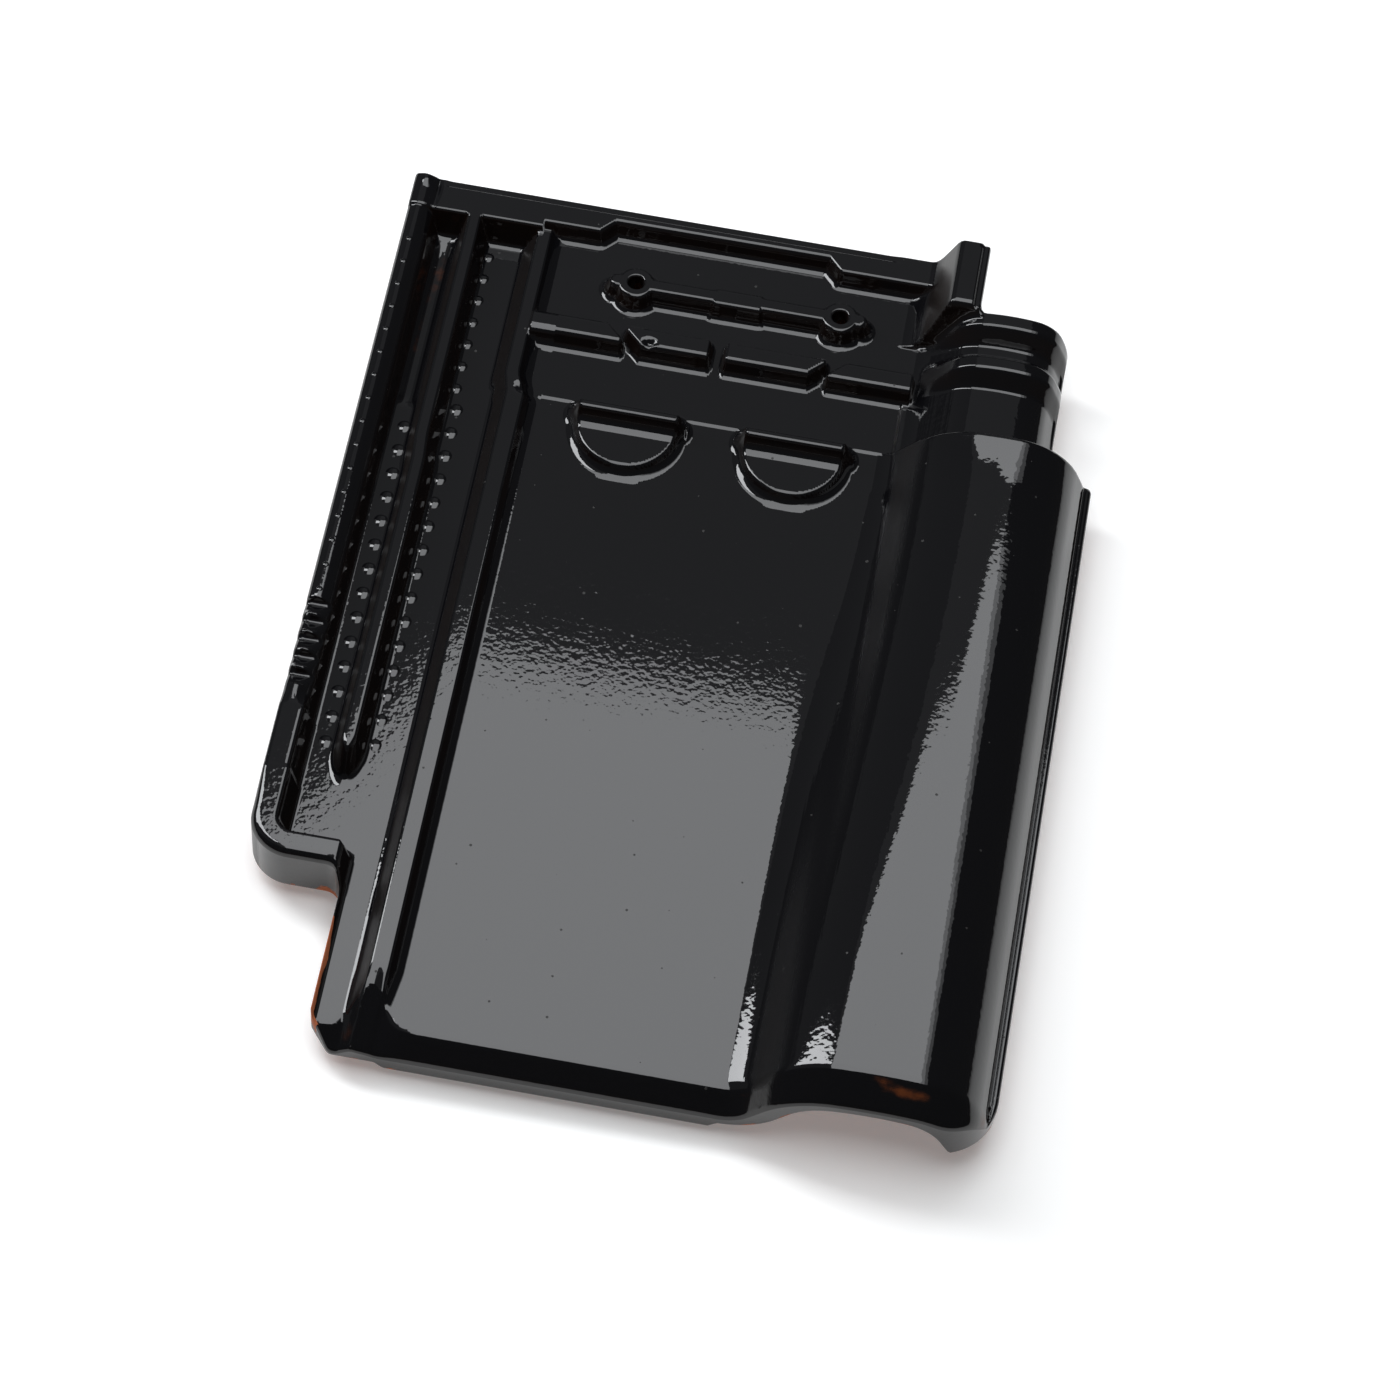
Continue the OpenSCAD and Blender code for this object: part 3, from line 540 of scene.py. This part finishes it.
def triangulate(loop, holes, points):
    coords = [Vector(p) for p in loop]
    edges = [(i, (i + 1) % len(loop)) for i in range(len(loop))]
    for hole in holes:
        start = len(coords)
        coords += [Vector(p) for p in hole]
        edges += [(start + i, start + (i + 1) % len(hole)) for i in range(len(hole))]
    fixed = len(coords)
    coords += [Vector(p) for p in points]
    verts, _, faces, origin, _, _ = delaunay_2d_cdt(coords, edges, [], 0, 1e-4)
    xy = np.array([v[:] for v in verts])
    tri = np.array([f for f in faces if len(f) == 3])
    mid = xy[tri].mean(1)
    sliver = 0.001  # mm, nearer to a line of points than any real face
    keep = loopDistance(mid[:, 0], mid[:, 1], loop) > sliver
    for hole in holes:
        keep &= loopDistance(mid[:, 0], mid[:, 1], hole) < -sliver
    place = np.full(fixed, -1)  # where each point of the loops ended up
    for i, sources in enumerate(origin):
        for s in sources:
            if s < fixed:
                place[s] = i
    return xy, tri[keep], place


rustSpots = [  # x, y, half width, half length and strength where iron shows through the glaze
    (15.5, 318.0, 2.6, 15.0, 0.62), (13.5, 285.0, 2.0, 26.0, 0.5), (232.0, 6.5, 9.0, 1.6, 1.3),
    (222.0, 9.0, 5.0, 1.2, 0.8), (257.5, 9.0, 1.2, 6.0, 1.2), (180.0, 6.0, 8.0, 2.0, 0.5),
    (47.0, 6.0, 3.0, 7.0, 0.6),
]
# bare clay on the top face, left of x and between two y, fading per mm from the edge, and on the lower edge
clayShare = {"x": 44.0, "y": (6.0, 46.0), "fade": 0.45, "lowerEdge": 0.5}


def heightNormals(height, xy):
    h = 0.1  # mm to each side
    x, y = xy[:, 0], xy[:, 1]
    zx = (height(x + h, y) - height(x - h, y)) / (2 * h)
    zy = (height(x, y + h) - height(x, y - h)) / (2 * h)
    n = np.column_stack([-zx, -zy, np.ones(len(x))])
    return n / np.linalg.norm(n, axis=1)[:, None]


def buildTile():
    loop = roundedLoop(tileOutline, meshGrid["outlineStep"])
    coarse = roundedLoop(tileOutline, 30.0)
    angles = np.linspace(0, 2 * math.pi, meshGrid["holeSides"], endpoint=False)
    circle = np.column_stack([np.cos(angles), np.sin(angles)]) * tileForm["holeRadius"]
    holes = [circle + np.array(c) for c in tileForm["nailHoles"]]
    lip, ear = tileForm["holeRound"], tileForm["earRound"]

    def roundedTop(x, y):  # the top face with its outer edge and hole rims rounded over
        edge = tileForm["edgeRound"] + ear["more"] * softRamp(y, *ear["y"]) * softRamp(x, *ear["x"])
        d = np.clip(loopDistance(x, y, coarse), 0, edge)
        gap = np.min([np.hypot(x - hx, y - hy) for hx, hy in tileForm["nailHoles"]], axis=0)
        gap = np.clip(gap - tileForm["holeRadius"], 0, lip)
        drop = edge - np.sqrt(edge ** 2 - (edge - d) ** 2) + lip - np.sqrt(lip ** 2 - (lip - gap) ** 2)
        return topHeight(x, y) - drop

    topXY, topTri, topPlace = triangulate(loop, holes, topPoints(loop, holes))
    print("top sheet:", len(topXY), "points,", len(topTri), "triangles")
    under = np.concatenate([gridPoints(meshGrid["underX"], meshGrid["underY"]),
                            gridPoints(meshGrid["underLockX"], meshGrid["underLockY"])])
    under = under[loopDistance(under[:, 0], under[:, 1], coarse) > meshGrid["underGap"]]
    lowXY, lowTri, lowPlace = triangulate(loop, holes, under)

    topZ, lowZ = roundedTop(topXY[:, 0], topXY[:, 1]), underHeight(lowXY[:, 0], lowXY[:, 1])
    topN, lowN = heightNormals(roundedTop, topXY), -heightNormals(underHeight, lowXY)
    count = len(topXY)
    co = np.concatenate([np.column_stack([topXY, topZ]), np.column_stack([lowXY, lowZ])])
    faces = [topTri, lowTri[:, ::-1] + count]
    normals = [topN[topTri], lowN[lowTri[:, ::-1]]]

    # walls along the outline and in the nail holes join the two sheets
    starts = [(0, len(loop), 1.0)]
    starts += [(len(loop) + i * len(circle), len(circle), -1.0) for i in range(len(holes))]
    fixedXY = np.concatenate([loop] + holes)
    for start, size, sign in starts:
        ids, nxt = start + np.arange(size), start + (np.arange(size) + 1) % size
        ring = fixedXY[ids]
        along = np.roll(ring, -1, 0) - np.roll(ring, 1, 0)
        out = np.column_stack([along[:, 1], -along[:, 0], np.zeros(size)]) * sign
        out /= np.linalg.norm(out, axis=1)[:, None]
        outNext = np.roll(out, -1, 0)
        a, b, c, d = topPlace[ids], topPlace[nxt], lowPlace[ids] + count, lowPlace[nxt] + count
        first, second = np.column_stack([a, c, d]), np.column_stack([a, d, b])
        nFirst, nSecond = np.stack([out, out, outNext], 1), np.stack([out, outNext, outNext], 1)
        if sign < 0:
            first, second, nFirst, nSecond = (v[:, ::-1] for v in (first, second, nFirst, nSecond))
        faces += [first, second]
        normals += [nFirst, nSecond]
    tri = np.concatenate(faces)

    mesh = bpy.data.meshes.new("tile_body")
    mesh.from_pydata(toFrame(co).tolist(), [], tri.tolist())
    mesh.shade_smooth()
    mesh.normals_split_custom_set(np.concatenate(normals).reshape(-1, 3).tolist())
    # share of bare clay: all of it underneath, little on the outer edge, more along the short lower left edge
    x, y = topXY[:, 0], topXY[:, 1]
    wornY0, wornY1 = clayShare["y"]
    worn = np.clip(1.0 - clayShare["fade"] * loopDistance(x, y, coarse), 0, 1)
    worn = worn * ((x < clayShare["x"]) & (y > wornY0) & (y < wornY1))
    low = np.ones(len(lowXY))
    low[lowPlace[:len(loop)]] = clayShare["lowerEdge"]
    rust = sum(s * bump((x - rx) / halfX, (y - ry) / halfY) for rx, ry, halfX, halfY, s in rustSpots)
    for name, values in (("clay", np.concatenate([worn, low])), ("rust", np.concatenate([rust, 0 * low]))):
        layer = mesh.attributes.new(name, "FLOAT", "POINT")
        layer.data.foreach_set("value", values.astype(np.float32))
    print("tile body:", len(co), "points,", len(tri), "triangles")
    return addObject("tile_body", mesh)


# rows of pressed pimples in mm; sink is how far the middle of each dome lies below the face

pimpleRows = {
    "channel_one": {"start": (16.8, 246.9), "step": 10.3, "count": 14,
                    "radius": 3.6, "height": 1.9, "sink": 1.35},
    "channel_two_head": {"start": (31.6, 327.0), "step": 10.0, "count": 7,
                         "radius": 3.0, "height": 1.7, "sink": 1.15},
    "channel_two": {"start": (33.4, 257.8), "step": 10.2, "count": 15,
                    "radius": 3.6, "height": 1.9, "sink": 1.35},
    "outer_rib": {"start": (3.7, 319.5), "step": 10.3, "count": 16,
                  "radius": 1.2, "height": 0.6, "sink": 0.3},
}


def pimpleTree(material):
    tree = bpy.data.node_groups.new("pimple_row", "GeometryNodeTree")
    tree.interface.new_socket("Geometry", in_out="INPUT", socket_type="NodeSocketGeometry")
    for name in ("Radius", "Height"):
        tree.interface.new_socket(name, in_out="INPUT", socket_type="NodeSocketFloat")
    tree.interface.new_socket("Geometry", in_out="OUTPUT", socket_type="NodeSocketGeometry")
    given = addNode(tree, "NodeGroupInput").outputs
    size = addNode(tree, "ShaderNodeCombineXYZ", {}, {},
                   {"X": given["Radius"], "Y": given["Radius"], "Z": given["Height"]})
    dome = addNode(tree, "GeometryNodeMeshUVSphere", {}, {"Segments": 24, "Rings": 20, "Radius": 1.0})
    smoothDome = addNode(tree, "GeometryNodeSetShadeSmooth", {}, {}, {"Geometry": dome.outputs["Mesh"]})
    row = addNode(tree, "GeometryNodeInstanceOnPoints", {}, {},
                  {"Points": given["Geometry"], "Instance": smoothDome.outputs["Geometry"],
                   "Scale": size.outputs["Vector"]})
    real = addNode(tree, "GeometryNodeRealizeInstances", {}, {}, {"Geometry": row.outputs["Instances"]})
    glazed = addNode(tree, "GeometryNodeSetMaterial", {}, {"Material": material},
                     {"Geometry": real.outputs["Geometry"]})
    addNode(tree, "NodeGroupOutput", {}, {}, {"Geometry": glazed.outputs["Geometry"]})
    return tree


def buildPimples(material):
    tree = pimpleTree(material)
    for name, row in pimpleRows.items():
        x = np.full(row["count"], row["start"][0])
        y = row["start"][1] - row["step"] * np.arange(row["count"])
        places = toFrame(np.column_stack([x, y, topHeight(x, y) - row["sink"]]))
        mesh = bpy.data.meshes.new(name)
        mesh.from_pydata(places.tolist(), [], [])
        points = addObject(name + "_points", mesh)
        modifier = points.modifiers.new("pimples", "NODES")
        modifier.node_group = tree
        for item in tree.interface.items_tree:
            if item.in_out == "INPUT" and item.name in ("Radius", "Height"):
                modifier[item.identifier] = row[item.name.lower()] * mm
        ready = points.evaluated_get(bpy.context.evaluated_depsgraph_get())
        piece = addObject("pimples_" + name, bpy.data.meshes.new_from_object(ready))
        bpy.data.objects.remove(points)
        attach(piece, "root")
    print("pimples:", sum(row["count"] for row in pimpleRows.values()))


# glazed red clay: glass-smooth black glaze with orange peel and pits, brown where it is thin, bare clay below

glazeLook = {
    "black": "#08080a", "thin": "#170d07", "rust": "#5c2f15", "clayLight": "#b9683f", "clayDark": "#96502f",
    "pit": "#0d0b0a", "ior": 1.52, "pitRoughness": 0.6, "clayRoughness": 0.85, "gritStrength": 0.5,
    # sizes and depths in mm
    "peelSize": 2.2, "peelDepth": 0.027, "fineSize": 0.8, "fineDepth": 0.003, "patchSize": 14.0,
    "blotSize": 4.0, "gritSize": 0.9, "gritDepth": 0.25, "pitSpacing": 19.0, "pitRadius": 0.55,
    "dragWidth": 0.9, "dragLength": 60.0, "dragDepth": 0.03,
    # what the facing of the surface gives: drag lines, roughness and thin glaze
    "dragFacing": {"From Min": -0.2, "From Max": -0.6},
    "dullFacing": {"From Min": -0.55, "From Max": -0.8, "To Min": 0.03, "To Max": 0.4},
    "thinFacing": {"From Min": 0.75, "From Max": 0.3, "To Max": 0.9},
    # ranges in which rust and bare clay set in, and in which a cell's draw gives it a pit
    "rustSpread": {"From Min": 0.2, "From Max": 0.75, "To Max": 0.8},
    "claySpread": {"From Min": 1.08, "From Max": 1.14}, "pitDraw": {"From Min": 0.45, "From Max": 1.0},
}


def glazedClay():
    look = glazeLook
    mat = bpy.data.materials.new("glazed_red_clay")
    mat.use_nodes = True
    tree = mat.node_tree
    tree.nodes.clear()
    coords = addNode(tree, "ShaderNodeTexCoord").outputs["Object"]
    noise = {}
    for name, size, detail in (("peel", look["peelSize"], 1.0), ("fine", look["fineSize"], 1.0),
                               ("patch", look["patchSize"], 3.0), ("blot", look["blotSize"], 3.0),
                               ("grit", look["gritSize"], 4.0)):
        noise[name] = addNode(tree, "ShaderNodeTexNoise", {}, {"Scale": 1000.0 / size, "Detail": detail},
                              {"Vector": coords}).outputs["Fac"]
    # steep faces that look left carry drag lines from the press
    surface = addNode(tree, "ShaderNodeNewGeometry")
    facing = addNode(tree, "ShaderNodeSeparateXYZ", {}, {}, {"Vector": surface.outputs["Normal"]})
    smooth, times = {"interpolation_type": "SMOOTHSTEP"}, {"operation": "MULTIPLY"}
    colors = {"data_type": "RGBA"}
    leftward = addNode(tree, "ShaderNodeMapRange", smooth, look["dragFacing"], {"Value": facing.outputs["X"]})
    across, along = 1000 / look["dragWidth"], 1000 / look["dragLength"]
    stretch = addNode(tree, "ShaderNodeMapping", {}, {"Scale": (across, along, across)}, {"Vector": coords})
    drag = addNode(tree, "ShaderNodeTexNoise", {}, {"Scale": 1.0, "Detail": 2.0},
                   {"Vector": stretch.outputs["Vector"]})
    dragHeight = addNode(tree, "ShaderNodeMath", times, {},
                         {0: drag.outputs["Fac"], 1: leftward.outputs["Result"]})
    normal = None
    for height, depth in ((noise["peel"], look["peelDepth"]), (noise["fine"], look["fineDepth"]),
                          (dragHeight.outputs[0], look["dragDepth"])):
        links = {"Height": height}
        if normal:
            links["Normal"] = normal
        bumpNode = addNode(tree, "ShaderNodeBump", {}, {"Strength": 1.0, "Distance": depth * mm}, links)
        normal = bumpNode.outputs["Normal"]
    # thin brown glaze on steep faces, rusty in spots
    steep = addNode(tree, "ShaderNodeMapRange", smooth, look["thinFacing"], {"Value": facing.outputs["Z"]})
    thin = addNode(tree, "ShaderNodeMath", times, {}, {0: steep.outputs["Result"], 1: noise["patch"]})
    black = addNode(tree, "ShaderNodeMix", colors,
                    {6: linearColor(look["black"]), 7: linearColor(look["thin"])}, {0: thin.outputs[0]})
    rustShare = addNode(tree, "ShaderNodeAttribute", {"attribute_name": "rust"})
    rustSpread = addNode(tree, "ShaderNodeMath", times, {}, {0: rustShare.outputs["Fac"], 1: noise["blot"]})
    rust = addNode(tree, "ShaderNodeMapRange", smooth, look["rustSpread"], {"Value": rustSpread.outputs[0]})
    glazeColor = addNode(tree, "ShaderNodeMix", colors, {7: linearColor(look["rust"])},
                         {0: rust.outputs["Result"], 6: black.outputs[2]})
    # the steepest faces that look left are duller
    dull = addNode(tree, "ShaderNodeMapRange", smooth, look["dullFacing"], {"Value": facing.outputs["X"]})
    glaze = addNode(tree, "ShaderNodeBsdfPrincipled", {}, {"IOR": look["ior"]},
                    {"Base Color": glazeColor.outputs[2], "Roughness": dull.outputs["Result"],
                     "Normal": normal})
    # pits where gas broke through the glaze
    cells = addNode(tree, "ShaderNodeTexVoronoi", {"voronoi_dimensions": "2D"},
                    {"Scale": 1000 / look["pitSpacing"]}, {"Vector": coords})
    pitReach = addNode(tree, "ShaderNodeSeparateColor", {}, {}, {"Color": cells.outputs["Color"]})
    pitSize = addNode(tree, "ShaderNodeMapRange", {},
                      {**look["pitDraw"], "To Max": look["pitRadius"] / look["pitSpacing"]},
                      {"Value": pitReach.outputs["Red"]})
    pit = addNode(tree, "ShaderNodeMath", {"operation": "LESS_THAN"}, {},
                  {0: cells.outputs["Distance"], 1: pitSize.outputs["Result"]})
    pitted = addNode(tree, "ShaderNodeBsdfPrincipled", {},
                     {"Base Color": linearColor(look["pit"]), "Roughness": look["pitRoughness"]})
    face = addNode(tree, "ShaderNodeMixShader", {}, {},
                   {0: pit.outputs[0], 1: glaze.outputs[0], 2: pitted.outputs[0]})
    # bare clay: matt, mottled and gritty
    clayColor = addNode(tree, "ShaderNodeMix", colors,
                        {6: linearColor(look["clayDark"]), 7: linearColor(look["clayLight"])},
                        {0: noise["patch"]})
    clayBump = addNode(tree, "ShaderNodeBump", {},
                       {"Strength": look["gritStrength"], "Distance": look["gritDepth"] * mm},
                       {"Height": noise["grit"]})
    clay = addNode(tree, "ShaderNodeBsdfPrincipled", {}, {"Roughness": look["clayRoughness"]},
                   {"Base Color": clayColor.outputs[2], "Normal": clayBump.outputs["Normal"]})
    share = addNode(tree, "ShaderNodeAttribute", {"attribute_name": "clay"})
    ragged = addNode(tree, "ShaderNodeMath", {"operation": "ADD"}, {},
                     {0: share.outputs["Fac"], 1: noise["patch"]})
    edge = addNode(tree, "ShaderNodeMapRange", {}, look["claySpread"], {"Value": ragged.outputs[0]})
    mix = addNode(tree, "ShaderNodeMixShader", {}, {},
                  {0: edge.outputs["Result"], 1: face.outputs[0], 2: clay.outputs[0]})
    addNode(tree, "ShaderNodeOutputMaterial", {}, {}, {"Surface": mix.outputs[0]})
    return mat


glazeMaterial = glazedClay()
tileBody = buildTile()
tileBody.data.materials.append(glazeMaterial)
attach(tileBody, "root")
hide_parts("tile")
buildPimples(glazeMaterial)


# matt white table, wide enough to fill the picture and to be mirrored as white in the glaze

tableLook = {"size": 8.0, "color": "#eeeeec", "grainColor": "#f2f2f1", "grainScale": 300.0, "glow": 0.20}


def buildTable():
    mesh = bpy.data.meshes.new("studio_table")
    s = tableLook["size"] / 2
    mesh.from_pydata([(-s, -s, 0), (s, -s, 0), (s, s, 0), (-s, s, 0)], [], [(0, 1, 2, 3)])
    mat = bpy.data.materials.new("matt_white_board")
    mat.use_nodes = True
    tree = mat.node_tree
    tree.nodes.clear()
    coords = addNode(tree, "ShaderNodeTexCoord").outputs["Object"]
    grain = addNode(tree, "ShaderNodeTexNoise", {}, {"Scale": tableLook["grainScale"], "Detail": 2.0},
                    {"Vector": coords})
    tint = addNode(tree, "ShaderNodeMix", {"data_type": "RGBA"},
                   {6: linearColor(tableLook["color"]), 7: linearColor(tableLook["grainColor"])},
                   {0: grain.outputs["Fac"]})
    matt = addNode(tree, "ShaderNodeBsdfDiffuse", {}, {}, {"Color": tint.outputs[2]})
    # seen directly or mirrored the board is a little lighter, so that it stays white outside the shadow
    path = addNode(tree, "ShaderNodeLightPath").outputs
    seen = path["Is Camera Ray"]
    for ray in ("Is Glossy Ray", "Is Transmission Ray"):
        either = addNode(tree, "ShaderNodeMath", {"operation": "MAXIMUM"}, {}, {0: seen, 1: path[ray]})
        seen = either.outputs[0]
    lift = addNode(tree, "ShaderNodeMath", {"operation": "MULTIPLY"}, {1: tableLook["glow"]}, {0: seen})
    glow = addNode(tree, "ShaderNodeEmission", {}, {}, {"Strength": lift.outputs[0]})
    board = addNode(tree, "ShaderNodeAddShader", {}, {}, {0: matt.outputs[0], 1: glow.outputs[0]})
    addNode(tree, "ShaderNodeOutputMaterial", {}, {}, {"Surface": board.outputs[0]})
    mesh.materials.append(mat)
    addObject("studio_table", mesh)


buildTable()


# soft studio light: radiance and corners of each glowing sheet, in metres

boxHeight, ceilingHeight = 1.1, 2.0


def flatSheet(x0, x1, y0, y1, z):
    return [(x0, y0, z), (x1, y0, z), (x1, y1, z), (x0, y1, z)]


lightSheets = {
    "softbox_face": {"radiance": 4.0, "corners": [(x, y, boxHeight) for x, y in (
        (-0.31, -0.50), (0.36, -0.50), (0.36, 0.79), (0.22, 0.76), (0.05, 0.655), (-0.20, 0.655),
        (-0.31, 0.45))]},
    "softbox_rim": {"radiance": 2.2, "corners": flatSheet(0.36, 0.43, -0.50, 0.79, boxHeight)},
    "softbox_edge": {"radiance": 0.9, "corners": flatSheet(0.43, 0.52, -0.50, 0.79, boxHeight)},
    "dim_ceiling": {"radiance": 0.27, "corners": flatSheet(-0.7, 0.60, -0.8, 4.5, ceilingHeight)},
    "dim_left": {"radiance": 0.15, "corners": flatSheet(-6.0, -0.7, -0.8, 4.5, ceilingHeight)},
    "left_panel": {"radiance": 11.0, "corners": [
        (-0.33, 0.16, 1.10), (-0.33, 0.44, 1.10), (-0.79, 0.345, 0.48), (-0.79, 0.05, 0.48)]},
}
lightLook = {"sheetColor": "#fafcff", "airColor": (0.5, 0.5, 0.51, 1), "airStrength": 0.12}


def buildLights():
    for name, sheet in lightSheets.items():
        mesh = bpy.data.meshes.new(name)
        mesh.from_pydata(sheet["corners"], [], [range(len(sheet["corners"]))])
        mat = bpy.data.materials.new(name)
        mat.use_nodes = True
        mat.node_tree.nodes.clear()
        glow = addNode(mat.node_tree, "ShaderNodeEmission", {},
                       {"Color": linearColor(lightLook["sheetColor"]), "Strength": sheet["radiance"]})
        addNode(mat.node_tree, "ShaderNodeOutputMaterial", {}, {}, {"Surface": glow.outputs[0]})
        mesh.materials.append(mat)
        sheetObject = addObject(name, mesh)
        sheetObject.visible_camera = False
    world = bpy.data.worlds.new("studio")
    world.use_nodes = True
    background = world.node_tree.nodes["Background"].inputs
    background["Color"].default_value = lightLook["airColor"]
    background["Strength"].default_value = lightLook["airStrength"]
    bpy.context.scene.world = world
    print("lights:", len(lightSheets))


buildLights()


# camera fitted to the photograph's view of the tile

cameraFit = {
    "focal": 4595.2, "picture": 1400.0, "azimuth": 4.561, "elevation": 58.255, "roll": 5.987,
    "target": (8.73, -21.99, 20.0), "distance": 1582.2,
}


def buildCamera():
    fit = cameraFit
    az, el, roll = (math.radians(fit[k]) for k in ("azimuth", "elevation", "roll"))
    back = Vector((math.sin(az) * math.cos(el), -math.cos(az) * math.cos(el), math.sin(el)))
    right = Vector((math.cos(az), math.sin(az), 0))
    up = back.cross(right)
    turnedRight = math.cos(roll) * right + math.sin(roll) * up
    turnedUp = -math.sin(roll) * right + math.cos(roll) * up
    data = bpy.data.cameras.new("camera")
    data.sensor_width = 36.0
    data.lens = fit["focal"] / fit["picture"] * data.sensor_width
    data.clip_start, data.clip_end = 0.05, 20.0
    camera = addObject("camera", data)
    spot = Vector(fit["target"]) * mm + back * fit["distance"] * mm
    turn = Matrix((turnedRight, turnedUp, back)).transposed().to_4x4()
    camera.matrix_world = Matrix.Translation(spot) @ turn
    bpy.context.scene.camera = camera


buildCamera()

bpy.context.scene.view_settings.view_transform = "Standard"
